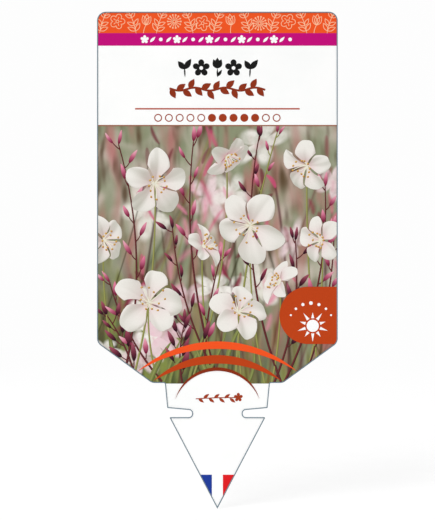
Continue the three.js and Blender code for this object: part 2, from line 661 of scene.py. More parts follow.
def lit(place, u, v):
    """How squarely the picture's sun meets the patch there, from 0 to 1."""
    across = place(min(1, u + NUDGE), v) - place(max(-1, u - NUDGE), v)
    along = place(u, min(1, v + NUDGE)) - place(u, max(0, v - NUDGE))
    normal = across.cross(along)
    if normal.length < NO_AREA:
        return HALF_LIT
    normal.normalize()
    if normal.y > 0:
        normal.negate()
    return max(0, normal.dot(SUN_IN_PICTURE))


def patch(bm, across, along, place, paint):
    """Adds a grid of the points place(u, v), inked by paint(u, v, light); u is -1 to 1, and v 0 to 1."""
    inks = bm.verts.layers.float_color.get(INK_COLOURS) or bm.verts.layers.float_color.new(INK_COLOURS)
    for vert in bmesh.ops.create_grid(bm, x_segments=across, y_segments=along, size=1)["verts"]:
        u = vert.co.x
        v = (vert.co.y + 1) / 2
        vert[inks] = (*paint(u, v, lit(place, u, v)), 1)
        vert.co = place(u, v)


# %% [markdown]
# The picture ends at the card's edges, which slope in at the foot and are rounded at
# their corners. What runs over them is cut by planes that touch the edge, and a rounded
# corner takes a few planes in a fan.
# %% Cutting at the card's edges
CORNER_CUTS = 6
SLOPE = math.degrees(math.atan2(FOOT_HALF - CARD_HALF, SHOULDER - CARD_FOOT))  # the way the slope faces


def round_off(bm, centre, start, end):
    """Cuts bm round a corner arc from start to end, in degrees, on both sides of the card."""
    for i in range(CORNER_CUTS + 1):
        angle = math.radians(start + (end - start) * i / CORNER_CUTS)
        for way in (-1, 1):
            outwards = spot(way * math.cos(angle), math.sin(angle))
            middle = spot(way * centre[0], centre[1])
            keep_side(bm, middle + outwards * (CORNER_RADIUS - EDGE_ROUNDING), outwards)


def within_card(bm):
    keep_side(bm, (0, 0, CARD_FOOT), (0, 0, -1))
    shoulder_rise = CORNER_RADIUS * math.tan(math.radians(-SLOPE / 2))
    foot_run = CORNER_RADIUS * math.tan(math.radians((90 + SLOPE) / 2))
    round_off(bm, (CARD_HALF - CORNER_RADIUS, SHOULDER + shoulder_rise), 0, SLOPE)
    round_off(bm, (FOOT_HALF - foot_run, CARD_FOOT + CORNER_RADIUS), SLOPE, -90)


# %% [markdown]
# All of these patches share one ink, whose colour comes from their points, and one way
# onto the sheet: pressed flat onto their level, and cut where the picture ends.
# %% Films of the picture
RELIEF = 0.0015


def stored_colour(tree):
    return add_node(tree, "ShaderNodeAttribute", settings={"attribute_name": INK_COLOURS}).outputs["Color"]


picture_ink = ink_finish("picture_ink", stored_colour)


def picture_film(name, bm, top):
    for vert in bm.verts:
        vert.co = Vector((vert.co.x, level(top) + vert.co.y * RELIEF, vert.co.z)) * MM
    keep_side(bm, (0, 0, PICTURE_TOP), (0, 0, 1))
    within_card(bm)
    knock_out_dome(bm)
    film(name, bm, picture_ink, top, "ground")


# %% [markdown]
# A petal is narrow where it joins the flower and widest beyond its middle, and its end is
# round with a shallow notch or a small point, like those of many garden flowers. It cups a
# little, ripples at its rim and curls back at its end. Thin petals are never plain white:
# they glow at the rim, turn grey-green in their own shade, and blush towards the heart.
# %% Petals
PETAL_LIGHT = ink(237, 234, 227)
PETAL_SHADE = ink(184, 182, 169)
PETAL_BLUSH = ink(222, 136, 160)
PETAL_HEART = ink(206, 200, 132)
PETAL_GRID = 14


def petal_half_width(v):
    """Half the width of a petal over its greatest half width."""
    return 0.08 + 0.92 * math.sin(math.pi / 2 * v) ** 1.4


def add_petal(bm, centre, radius, turn, facing, draw, blush):
    """A petal of its own shape; facing turns the flower's plane, and blush is 0 to 1."""
    slim = draw.uniform(0.32, 0.40) * radius
    cup = draw.uniform(0.10, 0.30) * radius
    curl = draw.uniform(0.10, 0.45) * radius
    sway = draw.uniform(-0.12, 0.12) * radius
    ripple = draw.uniform(0.01, 0.03) * radius
    notch = draw.uniform(-0.04, 0.05)
    phase = draw.uniform(0, math.tau)
    tone = draw.uniform(-0.08, 0.08)
    reach = radius * draw.uniform(0.92, 1.05)
    c, s = math.cos(turn), math.sin(turn)

    def place(u, v):
        swing = math.pi / 2 * u
        edge = math.sin(swing)
        dent = notch * math.exp(-(edge / 0.34) ** 2) * v ** 6
        out = reach * (v - 0.44 * (1 - math.cos(swing)) * v * v - dent)
        side = edge * slim * petal_half_width(v) + sway * v * v
        lift = 0.26 * radius * math.sin(v * 1.5) - curl * v ** 3 + cup * edge * edge * v
        lift += ripple * math.sin(6 * edge + phase) * v * v
        return centre + facing @ Vector((out * c - side * s, -lift, out * s + side * c))

    def paint(u, v, light):
        crease = 0.16 * math.exp(-(u / 0.12) ** 2) * (1 - v) + 0.03 * math.cos(14 * u) * v
        shade = blend(PETAL_SHADE, PETAL_LIGHT, 0.22 + 1.04 * light + tone - crease)
        shade = blend(shade, PETAL_LIGHT, 0.4 * abs(u) ** 6 * v)
        shade = blend(shade, PETAL_BLUSH, blush * (0.85 * (1 - v) ** 2.6 + 0.18 * abs(u) ** 3))
        return blend(shade, PETAL_HEART, 0.8 * max(0, 1 - v / 0.2) ** 1.5)

    patch(bm, PETAL_GRID, PETAL_GRID, place, paint)


# %% [markdown]
# All the rest of a plant can be drawn with one stroke: a strip that follows a bent line,
# rounded across, whose half width is a function of the place along it. A thin even one is
# a stalk, one that swells in the middle is a bud, and a long flat one is a leaf.
# %% Strokes
def bent_line(start, end, bow):
    """Functions for the points on a curve that bows sideways, and for its sideways direction."""
    run = end - start
    sideways = spot(-run.z, run.x).normalized()

    def point(v):
        return start + run * v + sideways * bow * 4 * v * (1 - v)

    def side(v):
        onwards = run + sideways * bow * 4 * (1 - 2 * v)
        return spot(-onwards.z, onwards.x).normalized()

    return point, side


def add_stroke(bm, start, end, bow, half_width, paint, along=12, across=2, rounding=1.0):
    """A stroke between two points whose half width, in mm, is half_width(v)."""
    point, side = bent_line(start, end, bow)

    def place(u, v):
        rise = math.sqrt(max(0, 1 - u * u)) * rounding * half_width(v)
        return point(v) + side(v) * u * half_width(v) - Vector((0, rise, 0))

    patch(bm, across, along, place, paint)


# %% [markdown]
# From the heart of a blossom rises a tuft of stamens: pale threads that spread like the
# ribs of a fan, each with a small golden head. A blossom is its petals, laid round in
# turn, and the tuft.
# %% Stamens and blossoms
THREAD = ink(240, 235, 216)
POLLEN = ink(222, 186, 92)
POLLEN_SHADE = ink(160, 88, 48)
STAMENS = 12
TUFT_RISE = Vector((0, -3, 0))
HEAD_RISE = Vector((0, -1.5, 0))


def add_stamens(bm, facing, centre, radius, draw):
    start = centre + TUFT_RISE
    for i in range(STAMENS):
        turn = math.tau * (i + draw.uniform(-0.3, 0.3)) / STAMENS
        length = radius * draw.uniform(0.30, 0.50)
        end = start + facing @ (heading(turn, length * 0.8) - Vector((0, length * 0.9, 0)))
        add_stroke(bm, start, end, draw.uniform(-0.5, 0.5), lambda v: 0.16 - 0.05 * v,
                   lambda u, v, light: blend(THREAD, PETAL_SHADE, 0.35 * abs(u)), along=6)
        head = end + HEAD_RISE
        lie = heading(turn + 1.2, 0.42)
        add_stroke(bm, head - lie, head + lie, 0.06, lambda v: 0.06 + 0.30 * math.sin(math.pi * v),
                   lambda u, v, light: blend(POLLEN_SHADE, POLLEN, light * 1.3), along=4)


def add_blossom(bm, centre, radius, turn, yaw, pitch, blush, draw):
    """A blossom of petals that overlap in turn, facing where yaw and pitch, in degrees, point it."""
    facing = Matrix.Rotation(math.radians(yaw), 3, "Z") @ Matrix.Rotation(math.radians(pitch), 3, "X")
    for i in range(PETALS):
        angle = math.radians(turn) + math.tau * i / PETALS + draw.uniform(-0.12, 0.12)
        behind = Vector((0, 1.2 * (i % 2) + 0.6 * i, 0))
        add_petal(bm, centre + behind, radius, angle, facing, draw, blush)
    add_stamens(bm, facing, centre, radius, draw)


# %% [markdown]
# Buds are deep red at their foot and pink above, or wine red all over while they are
# young. Stems are lit along one side, and a leaf has a pale rib with its two halves in
# different light.
# %% Buds, stems and leaves
PINK_BUDS = (ink(116, 26, 54), ink(224, 118, 152))
WINE_BUDS = (ink(46, 12, 26), ink(150, 58, 82))
RED_STEM = (ink(44, 15, 22), ink(120, 54, 54))
GREEN_STEM = (ink(98, 100, 44), ink(170, 170, 100))
LEAF = ink(78, 90, 42)
LEAF_LIGHT = ink(156, 162, 94)


def add_bud(bm, foot, turn, length, draw, tones, open_share):
    """A closed bud on its foot; the more open it is, the paler its end."""
    plump = draw.uniform(0.10, 0.15) * length
    deep, fresh = tones

    def paint(u, v, light):
        tone = blend(deep, fresh, (v - 0.16) * 1.5 + 0.2 * open_share)
        tone = blend(tone, PETAL_LIGHT, open_share * max(0, v - 0.45) * 1.1)
        return blend(blend(tone, deep, 0.35), tone, 0.15 + 1.1 * light)

    add_stroke(bm, foot, foot + heading(turn, length), draw.uniform(-0.25, 0.25),
               lambda v: 0.10 + plump * math.sin(math.pi * v ** 0.8) ** 0.9, paint, along=10, across=6)


def add_stem(bm, start, end, bow, thick, thin, tones, along=18):
    add_stroke(bm, start, end, bow, lambda v: thick + (thin - thick) * v,
               lambda u, v, light: blend(*tones, 0.1 + 0.85 * light), along=along, across=4)


def add_leaf(bm, foot, turn, length, width, bow):
    """A slender leaf with a pale midrib."""
    def paint(u, v, light):
        tone = blend(LEAF, LEAF_LIGHT, 0.9 * light * (0.7 if u > 0 else 1.0))
        return blend(tone, LEAF_LIGHT, 0.6 * math.exp(-(u / 0.14) ** 2))

    add_stroke(bm, foot, foot + heading(turn, length), bow,
               lambda v: 0.05 + width * math.sin(math.pi * v ** 0.8) ** 0.8, paint, across=6, rounding=0.5)


# %% [markdown]
# Flowering sprays cross the picture. Each is a stem with short side stalks and buds that
# get smaller towards its end, and it bends a little under their weight. Its random draw
# is seeded by its own name.
# %% Sprays of buds
BUD_PITCH = 5.6
LOWEST_BUD = 0.35
HIGHEST_BUD = 0.98
IN_FRONT = Vector((0, -1, 0))


def add_spray(bm, start, end, bow, buds, size, draw, stem_tones, bud_tones):
    """A stem from start to end with buds on alternate sides of its upper part."""
    most_open = 0.9 if bud_tones == PINK_BUDS else 0.15
    add_stem(bm, start, end, bow, 0.42, 0.18, stem_tones)
    point = bent_line(start, end, bow)[0]
    lean = math.atan2(end.z - start.z, end.x - start.x)
    lowest = max(LOWEST_BUD, 1 - BUD_PITCH * buds / (end - start).length)
    for i in range(buds):
        v = lowest + (HIGHEST_BUD - lowest) * i / (buds - 1)
        way = 1 if i % 2 else -1
        turn = lean + way * draw.uniform(0.45, 0.85)
        knee = point(v) + heading(turn, size * draw.uniform(0.2, 0.5))
        add_stem(bm, point(v), knee, way * 0.15, 0.20, 0.15, stem_tones, along=4)
        length = size * draw.uniform(0.8, 1.15) * (1.15 - 0.5 * v)
        open_share = draw.uniform(0, most_open)
        add_bud(bm, knee + IN_FRONT, turn - way * 0.2, length, draw, bud_tones, open_share)
    add_bud(bm, end, lean + draw.uniform(-0.2, 0.2), size * 0.75, draw, bud_tones, most_open / 2)


# name, foot, top, bow, number of buds, length of a bud, tones of the stem and of the buds
SPRAYS = [
    ("spray_left", (-33, 6), (-33, 90), -6, 8, 6.6, RED_STEM, PINK_BUDS),
    ("spray_middle", (2, 6), (-8, 91), 5, 7, 7.0, RED_STEM, PINK_BUDS),
    ("spray_right", (20, 6), (36, 76), -5, 8, 6.4, RED_STEM, PINK_BUDS),
    ("spray_low", (-14, 6), (-36, 44), 3, 6, 6.0, RED_STEM, PINK_BUDS),
    ("spray_centre", (6, 6), (20, 94), 3, 7, 5.6, GREEN_STEM, PINK_BUDS),
    ("spray_short", (-4, 6), (1, 52), 2, 5, 5.4, RED_STEM, PINK_BUDS),
    ("spray_edge", (27, 8), (39, 62), -3, 6, 5.6, RED_STEM, PINK_BUDS),
    ("young_left", (-26, 4), (-37, 33), -2, 8, 6.6, RED_STEM, WINE_BUDS),
    ("young_low", (-10, 4), (-11, 30), 2, 8, 6.8, RED_STEM, WINE_BUDS),
    ("young_middle", (5, 4), (-15, 62), 4, 8, 6.0, RED_STEM, WINE_BUDS),
    ("young_right", (16, 4), (26, 58), -4, 8, 6.0, RED_STEM, WINE_BUDS),
    ("young_top", (24, 4), (14, 93), 7, 9, 5.6, RED_STEM, WINE_BUDS),
]
for name, foot, top, bow, buds, size, stem_tones, bud_tones in SPRAYS:
    bm = bmesh.new()
    add_spray(bm, spot(*foot), spot(*top), bow, buds, size, random.Random(name), stem_tones, bud_tones)
    picture_film(name, bm, "stems")

# %% [markdown]
# Slender leaves fill the foot of the picture, thickest on its left. The ground has blurred
# grass there already, and a few crisp blades in front of it give the picture its depth.
# They are strokes like the rest, drawn from a seed of their own.
# %% Leaves at the foot
LEAVES_AT_FOOT = 9
LEAF_PITCH = 4.6
LEAF_SEED = 5
bm = bmesh.new()
draw = random.Random(LEAF_SEED)
for i in range(LEAVES_AT_FOOT):
    foot = Vector((-30 + LEAF_PITCH * i + draw.uniform(-2, 2), -0.2 * i, 7))
    turn = math.radians(draw.uniform(62, 122))
    add_leaf(bm, foot, turn, draw.uniform(13, 27), draw.uniform(0.45, 0.9), draw.uniform(-3, 3))
picture_film("grass_leaves", bm, "stems")

# %% [markdown]
# The blossoms are set one by one: place, size, turn, the way they face, how much they blush,
# and how far aside the foot of their stalk is. The far ones go on a level behind the near
# ones, and two of them are seen from the side.
# %% Blossoms in focus
# name, level, place, radius, turn, yaw, pitch, blush, how far aside the stalk's foot is
BLOSSOMS = [
    ("left_edge", "far_blooms", (-38, 58), 9.0, 40, 35, 5, 0.5, 7),
    ("top", "far_blooms", (3, 86), 8.5, 20, 40, 30, 0.9, -14),
    ("right_edge", "far_blooms", (35, 58), 8.5, 30, -35, 0, 0.8, -8),
    ("side_on", "far_blooms", (-5, 56), 8.0, 80, 58, -24, 0.9, 5),
    ("by_the_badge", "far_blooms", (21, 44), 8.0, 25, -55, -18, 0.8, -4),
    ("upper_left", "near_blooms", (-21, 77), 11.5, 15, 18, 12, 0.45, -9),
    ("middle", "near_blooms", (11, 63), 12.5, 50, -14, 14, 0.4, 6),
    ("low_left", "near_blooms", (-23, 37), 12.5, 5, 10, -18, 0.5, 5),
    ("low_right", "near_blooms", (7, 34), 10.5, 75, 20, -25, 0.6, 2),
    ("top_right", "near_blooms", (30, 83), 9.5, 10, -30, 20, 0.6, 5),
]
STALK_FOOT = 5
stalks = bmesh.new()
for name, top, place, radius, turn, yaw, pitch, blush, aside in BLOSSOMS:
    bm = bmesh.new()
    heart = spot(*place)
    add_blossom(bm, heart, radius, turn, yaw, pitch, blush, random.Random(name))
    picture_film(f"blossom_{name}", bm, top)
    add_stem(stalks, spot(heart.x + aside, STALK_FOOT), heart, aside / 3, 0.36, 0.22, GREEN_STEM)
picture_film("blossom_stalks", stalks, "stems")


# %% [markdown]
# Line work, such as the outlines in the header, is drawn as curves. A curve gets its
# width from a round bevel, becomes a mesh, and is then pressed nearly flat, as a line of
# ink that stands up a little. The points are in millimetres, across and up.
# %% Lines of ink
LINE_SWELL = 0.08


def line_work(name, lines, half_width, finish, trim=None):
    """Flat lines on the ground level; each is its points and whether it closes on itself."""
    curve = bpy.data.curves.new(name, "CURVE")
    curve.dimensions = "3D"
    curve.bevel_depth = half_width * MM
    curve.bevel_resolution = 1
    curve.use_fill_caps = True
    for points, closed in lines:
        spline = curve.splines.new("POLY")
        spline.points.add(len(points) - 1)
        spline.use_cyclic_u = closed
        for target, (x, z) in zip(spline.points, points):
            target.co = (x * MM, 0, z * MM, 1)
    drawn = bpy.data.objects.new(name, curve)
    mesh = bpy.data.meshes.new_from_object(drawn)
    bm = bmesh.new()
    bm.from_mesh(mesh)
    bpy.data.objects.remove(drawn)
    bpy.data.curves.remove(curve)
    bpy.data.meshes.remove(mesh)
    for vert in bm.verts:
        vert.co.y = level("ground") * MM + vert.co.y * LINE_SWELL
    if trim:
        trim(bm)
        bmesh.ops.holes_fill(bm, edges=[edge for edge in bm.edges if edge.is_boundary], sides=0)
    bmesh.ops.recalc_face_normals(bm, faces=bm.faces[:])
    new_piece(name, bm, finish)


# %% [markdown]
# A few outlines make up all the ornaments: a leaf, a ring of petals, a circle and a bent
# stem. Each returns its points, so that the same leaf can be a line here and a solid
# shape elsewhere.
# %% Outlines of leaves and flowers
UP = math.radians(90)
FLOWER_STEPS = 60
STEM_STEPS = 10


def turned(points, place, angle):
    """The points turned by angle, in radians, and moved to place."""
    c, s = math.cos(angle), math.sin(angle)
    return [(place[0] + x * c - z * s, place[1] + x * s + z * c) for x, z in points]


def polar(place, radius, angle):
    """The point that lies radius away from place in the direction angle."""
    return (place[0] + radius * math.cos(angle), place[1] + radius * math.sin(angle))


def leaf_outline(place, angle, length, width, steps=8):
    """A pointed leaf from its foot at place."""
    upper = [(length * i / steps, width * math.sin(math.pi * (i / steps) ** 0.85)) for i in range(steps + 1)]
    lower = [(x, -z) for x, z in upper[-2:0:-1]]
    return turned(upper + lower, place, angle)


def flower_outline(place, radius, turn=UP, depth=0.5):
    """A ring of round petals; depth is how far the gaps reach in, as a share of the radius."""
    points = []
    for i in range(FLOWER_STEPS):
        angle = math.tau * i / FLOWER_STEPS
        reach = 1 - depth + depth * abs(math.cos(PETALS * angle / 2)) ** 0.7
        points.append(polar(place, radius * reach, angle + turn))
    return points


def circle_outline(place, radius, steps=16):
    return [polar(place, radius, math.tau * i / steps) for i in range(steps)]


def bent_outline(start, end, bow):
    point = bent_line(spot(*start), spot(*end), bow)[0]
    points = [point(i / STEM_STEPS) for i in range(STEM_STEPS + 1)]
    return [(p.x, p.z) for p in points]


# %% [markdown]
# The header is a row of garden plants in fine peach outlines on orange. These functions
# return the lines of one plant each: a leafy sprig, a cup-shaped flower, a round seed head
# and an open flower.
# %% Plants in outline
SEED_RAYS = 14
FIRST_PAIR = 2  # the points of a stem that carry its first and its last pair of leaves
LAST_PAIR = 9


def sprig(foot, top, bow, pairs, leaf):
    """A stem with pairs of leaves that get smaller, and one leaf at its end."""
    stem = bent_outline(foot, top, bow)
    lean = math.atan2(top[1] - foot[1], top[0] - foot[0])
    lines = [(stem, False), (leaf_outline(stem[-1], lean, leaf * 0.8, leaf * 0.18), True)]
    for i in range(pairs):
        size = leaf * (1.1 - 0.5 * i / pairs)
        for way in (-1, 1):
            at = stem[FIRST_PAIR + round(i * (LAST_PAIR - FIRST_PAIR) / (pairs - 1))]
            lines.append((leaf_outline(at, lean + way * 0.85, size, size * 0.21), True))
    return lines


def cup(place, size, lean):
    """Three upright petals on a stalk."""
    lines = [(leaf_outline(place, lean + way * 0.42, size * (1.12 - 0.12 * abs(way)), size * 0.25), True)
             for way in (-1, 0, 1)]
    return lines + [(bent_outline(polar(place, -size * 1.6, lean), place, size * 0.15), False)]


def seed_head(place, radius):
    """Rays round a small circle, each with a ring at its end."""
    lines = [(circle_outline(place, radius * 0.22, 10), True)]
    for i in range(SEED_RAYS):
        angle = math.tau * i / SEED_RAYS
        outer = polar(place, radius, angle)
        lines.append(([polar(place, radius * 0.3, angle), outer], False))
        lines.append((circle_outline(outer, radius * 0.09, 6), True))
    return lines


def open_flower(place, radius, turn):
    """A ring of petals, each with a vein, round a small circle."""
    lines = [(flower_outline(place, radius, turn, 0.42), True)]
    lines.append((circle_outline(place, radius * 0.2, 10), True))
    for i in range(PETALS):
        angle = turn + math.tau * i / PETALS
        lines.append(([polar(place, radius * 0.3, angle), polar(place, radius * 0.62, angle)], False))
    return lines


# %% [markdown]
# Sprigs alternate with the other plants along the header. They run out over its edges,
# as a pattern that was cut from a longer strip does, so the lines are cut at its foot and
# round the card's top corners.
# %% The outlines in the header
HEADER_LINE = 0.13
HEADER_MIDDLE = (HEADER_FOOT + CARD_TOP) / 2
SPRIGS = 9
SPRIG_PITCH = 9.5
SPRIG_LEAN = 1.5
header_lines = []
for i in range(SPRIGS):
    x = SPRIG_PITCH * (i - (SPRIGS - 1) / 2)
    way = (-1) ** i
    lean = SPRIG_LEAN * way
    header_lines += sprig((x - lean, HEADER_FOOT - 1), (x + lean, CARD_TOP + 0.5), 0.5 * way, 4, 2.6)
    beside = x + 4.6
    middle = (beside, HEADER_MIDDLE + 0.3 * way)
    if i % 3 == 0:
        header_lines += open_flower(middle, 2.5, 0.4 * i)
    elif i % 3 == 1:
        header_lines += cup((beside, HEADER_MIDDLE - 0.9), 3.3, math.radians(90 + 7 * way))
    else:
        header_lines += seed_head(middle, 2.2)


def within_header(bm):
    keep_side(bm, (0, 0, HEADER_FOOT), (0, 0, -1))
    round_off(bm, (CARD_HALF - CORNER_RADIUS, CARD_TOP - CORNER_RADIUS), 0, 90)


line_work("header_outlines", header_lines, HEADER_LINE, finishes["peach"], within_header)

# %% [markdown]
# Rows of ornaments give the label its layout. They are solid shapes: leaves, petals and
# dots, filled in. Shapes of one ornament overlap, so each lies a hair in front of the one
# before.
# %% Solid ornaments
OVERLAP_STEP = 0.0008


def add_solid(bm, points):
    """Adds a flat filled outline, in mm, a hair in front of those that are there."""
    depth = -OVERLAP_STEP * len(bm.faces)
    bm.faces.new([bm.verts.new((x, depth, z)) for x, z in points])


def solids(outlines):
    """A drawing of filled outlines."""
    bm = bmesh.new()
    for points in outlines:
        add_solid(bm, points)
    return bm


def ornament(name, bm, finish, top="ground", base="sheet"):
    """A film of solid shapes that are drawn in mm. New faces need a normal before they are split."""
    bm.normal_update()
    bmesh.ops.triangulate(bm, faces=bm.faces[:])
    for vert in bm.verts:
        vert.co = Vector((vert.co.x, level(top) + vert.co.y, vert.co.z)) * MM
    film(name, bm, finish, top, base)


# %% [markdown]
# On the magenta band small white flowers, leaves and dots take turns. One shape could be
# repeated by an Array modifier, but here three kinds alternate, so a loop places their
# outlines along the band, and together they are one film of white ink.
# %% The row on the magenta band
BAND_MIDDLE = (BAND_FOOT + HEADER_FOOT) / 2
BAND_PITCH = 2.7
BAND_ORNAMENTS = 19
bm = bmesh.new()
for i in range(BAND_ORNAMENTS):
    x = (i - BAND_ORNAMENTS // 2) * BAND_PITCH
    if i % 4 == 0:
        add_solid(bm, flower_outline((x, BAND_MIDDLE), 1.4))
    elif i % 2:
        add_solid(bm, leaf_outline((x - 0.9, BAND_MIDDLE - 0.9), UP / 2, 2.5, 0.45))
    else:
        add_solid(bm, circle_outline((x, BAND_MIDDLE), 0.62))
ornament("band_ornaments", bm, finishes["paper_white"], "lines", "ground")


# %% [markdown]
# The title is a row of five plants in black: seedlings outside, then flowers, and a cup
# in the middle. The seedlings and the cup are a few leaf outlines that grow from one foot,
# the flowers are rings of petals, and their hearts are dots of white ink over the black.
# %% The title
def add_sprout(bm, place, size, lean):
    """Two leaves on a short stem."""
    stem = UP + lean
    node = polar(place, size * 0.42, stem)
    add_solid(bm, leaf_outline(place, stem, size * 0.6, size * 0.04, 4))
    for way, share in ((-1, 0.64), (1, 0.54)):
        add_solid(bm, leaf_outline(node, stem + way * 0.62, size * share, size * 0.15))


def add_cup(bm, place, size):
    """A cup of three petals on a stem with one leaf."""
    node = (place[0], place[1] + size * 0.46)
    add_solid(bm, leaf_outline(place, UP, size * 0.5, size * 0.04, 4))
    add_solid(bm, leaf_outline((place[0], place[1] + size * 0.05), UP - 0.6, size * 0.42, size * 0.08))
    for way in (-0.42, 0, 0.42):
        add_solid(bm, leaf_outline(node, UP + way, size * (0.56 - 0.1 * abs(way)), size * 0.15))


TITLE_FOOT = 112.4
TITLE_SIZE = 6.5
TITLE_PITCH = 5.4
TITLE_FLOWER = 2.9
FLOWER_LIFT = 3.15
bm = bmesh.new()
add_cup(bm, (0, TITLE_FOOT), TITLE_SIZE)
for way in (-1, 1):
    add_solid(bm, flower_outline((way * TITLE_PITCH, TITLE_FOOT + FLOWER_LIFT), TITLE_FLOWER))
    add_sprout(bm, (way * 2 * TITLE_PITCH, TITLE_FOOT), TITLE_SIZE, -0.06 * way)
ornament("title_ornaments", bm, finishes["title_black"])
hearts = solids(circle_outline((way * TITLE_PITCH, TITLE_FOOT + FLOWER_LIFT), 0.62) for way in (-1, 1))
ornament("title_flower_hearts", hearts, finishes["paper_white"], "lines", "ground")

# %% [markdown]
# Under the title runs a leafy garland in rust, and under that a thin rule. The garland's
# stem is a line along a sine wave, and its leaves start from points on the same wave, so
# they can't come away from it. The rule is an outline with four corners.
# %% Garland and rule
GARLAND_MIDDLE = 108.5
GARLAND_HALF = 16.0
GARLAND_LEAVES = 15
GARLAND_STEPS = 64
WAVE_HEIGHT = 0.5
WAVE_TURN = 0.62


def garland(x):
    return GARLAND_MIDDLE + WAVE_HEIGHT * math.sin(x * WAVE_TURN)


bm = bmesh.new()
for i in range(GARLAND_LEAVES):
    x = -GARLAND_HALF + 0.3 + i * (2 * GARLAND_HALF - 3) / (GARLAND_LEAVES - 1)
    way = 1 if i % 2 else -1
    slope = math.atan(WAVE_HEIGHT * WAVE_TURN * math.cos(x * WAVE_TURN))
    add_solid(bm, leaf_outline((x, garland(x)), slope + way * 0.8, 3.7, 1.02))
ornament("garland_leaves", bm, finishes["title_rust"])
steps = [GARLAND_HALF * (2 * i / GARLAND_STEPS - 1) for i in range(GARLAND_STEPS + 1)]
line_work("garland_stem", [([(x, garland(x)) for x in steps], False)], 0.40, finishes["title_rust"])

RULE_HEIGHT = 101.92
RULE_HALF = 27.5
RULE_THICK = 0.5
corners = [(-1, -1), (1, -1), (1, 1), (-1, 1)]
bar = [(x * RULE_HALF, RULE_HEIGHT + z * RULE_THICK / 2) for x, z in corners]
ornament("title_rule", solids([bar]), finishes["rule_salmon"])

# %% [markdown]
# Twelve small rings stand for the months of the year, and those in which the plant
# flowers are filled in. The filled ones are solid discs and the others are lines, a little
# smaller, because half of a line's width lies outside its points.
# %% The strip of months
MONTH_HEIGHT = 98.9
MONTH_PITCH = 3.6
MONTH_RADIUS = 1.35
RING_LINE = 0.2
IN_FLOWER = range(5, 10)
filled = []
rings = []
for month in range(12):
    place = ((month - 5.5) * MONTH_PITCH, MONTH_HEIGHT)
    if month in IN_FLOWER:
        filled.append(circle_outline(place, MONTH_RADIUS, 24))
    else:
        rings.append((circle_outline(place, MONTH_RADIUS - RING_LINE, 24), True))
ornament("months_of_flower", solids(filled), finishes["brown_rust"])
line_work("other_months", rings, RING_LINE, finishes["brown_rust"])

# %% [markdown]
# A badge in rust sits on the picture's right edge: half a disc drawn out to the edge of
# the card, and cut at it. A white sun stands for a sunny place, and above it dots mark
# the sun's way across the sky.
# %% The badge with its sun
BADGE = (30.3, 32.9)
BADGE_RADIUS = 9.56
SUN = (31.85, 29.4)
SUN_RADIUS = 2.04
RAYS = 10
RAY_FOOT = 2.55
arc = [polar(BADGE, BADGE_RADIUS, UP + math.pi * i / ARC_STEPS) for i in range(ARC_STEPS + 1)]
bm = solids([[(CARD_HALF, arc[0][1])] + arc + [(CARD_HALF, arc[-1][1])]])
bmesh.ops.scale(bm, vec=Vector((MM, MM, MM)), verts=bm.verts[:])
within_card(bm)
bmesh.ops.scale(bm, vec=Vector((1, 1, 1)) / MM, verts=bm.verts[:])
ornament("badge_disc", bm, finishes["rust"], "panels", "ground")

outlines = [circle_outline(SUN, SUN_RADIUS, 32)]
for ray in range(RAYS):
    reach = 5.3 if ray % 2 else 4.5
    corners = [(RAY_FOOT, -0.52), (reach, 0), (RAY_FOOT, 0.52)]
    outlines.append(turned(corners, SUN, UP + math.tau * ray / RAYS))
ornament("badge_sun", solids(outlines), finishes["paper_white"], "marks", "panels")

DOTS = 7
path = (SUN[0] - 0.6, SUN[1])
dots = []
for dot in range(DOTS):
    place = polar(path, 7.6, math.radians(28 + dot * 124 / (DOTS - 1)))
    dots.append(circle_outline(place, 0.62 - 0.28 * abs(2 * dot / (DOTS - 1) - 1)))
ornament("badge_sun_path", solids(dots), finishes["paper_white"], "marks", "panels")


# %% [markdown]
# Three bows rise from the foot of the picture like hills behind each other, and the inner
# one frames the bare dome. Each bow is the shape between two arcs through the same tips.
# %% Bows over the dome
# name, ink, right-hand tip, top, thickness in the middle, the level below
BOWS = [
    ("bow_outer", "bright_orange", (26.6, 14.2), 24.2, 2.5, "ground"),
    ("bow_middle", "rust", (21.4, 11.0), 19.6, 2.8, "ground"),
    ("bow_inner", "dark_rust", BOW_TIP, 15.5, 1.15, "sheet"),
]
for name, colour, tip, top, thick, base in BOWS:
    bow = solids([arc_over(tip, top) + arc_over(tip, top - thick)[-2:0:-1]])
    ornament(name, bow, finishes[colour], "panels", base)

# %% [markdown]
# On the lance a small sprig in rust marks the neck, and near the tip three stripes in
# blue, white and red run from edge to edge. The white one is the bare sheet.
# %% Sprig on the neck and stripes on the lance
leaves = [leaf_outline((-6.4 + 1.75 * i, 5.2), 0.65 * (1 if i % 2 else -1), 2.4, 0.5) for i in range(7)]
ornament("neck_sprig", solids(leaves + [flower_outline((7.0, 5.5), 1.5)]), finishes["brown_rust"])
stem = bent_outline((-7.2, 5.0), (6.4, 5.4), 0.15)
line_work("neck_sprig_stem", [(stem, False)], 0.18, finishes["brown_rust"])

STRIPE_TOP = -20.35
STRIPE_HALF_GAP = 1.84
for name, way, colour in (("stripe_blue", -1, "flag_blue"), ("stripe_red", 1, "flag_red")):
    bm = zone(TIP, STRIPE_TOP)
    keep_side(bm, (way * STRIPE_HALF_GAP, 0, 0), (-way, 0, 0))
    film(name, bm, finishes[colour], "ground")

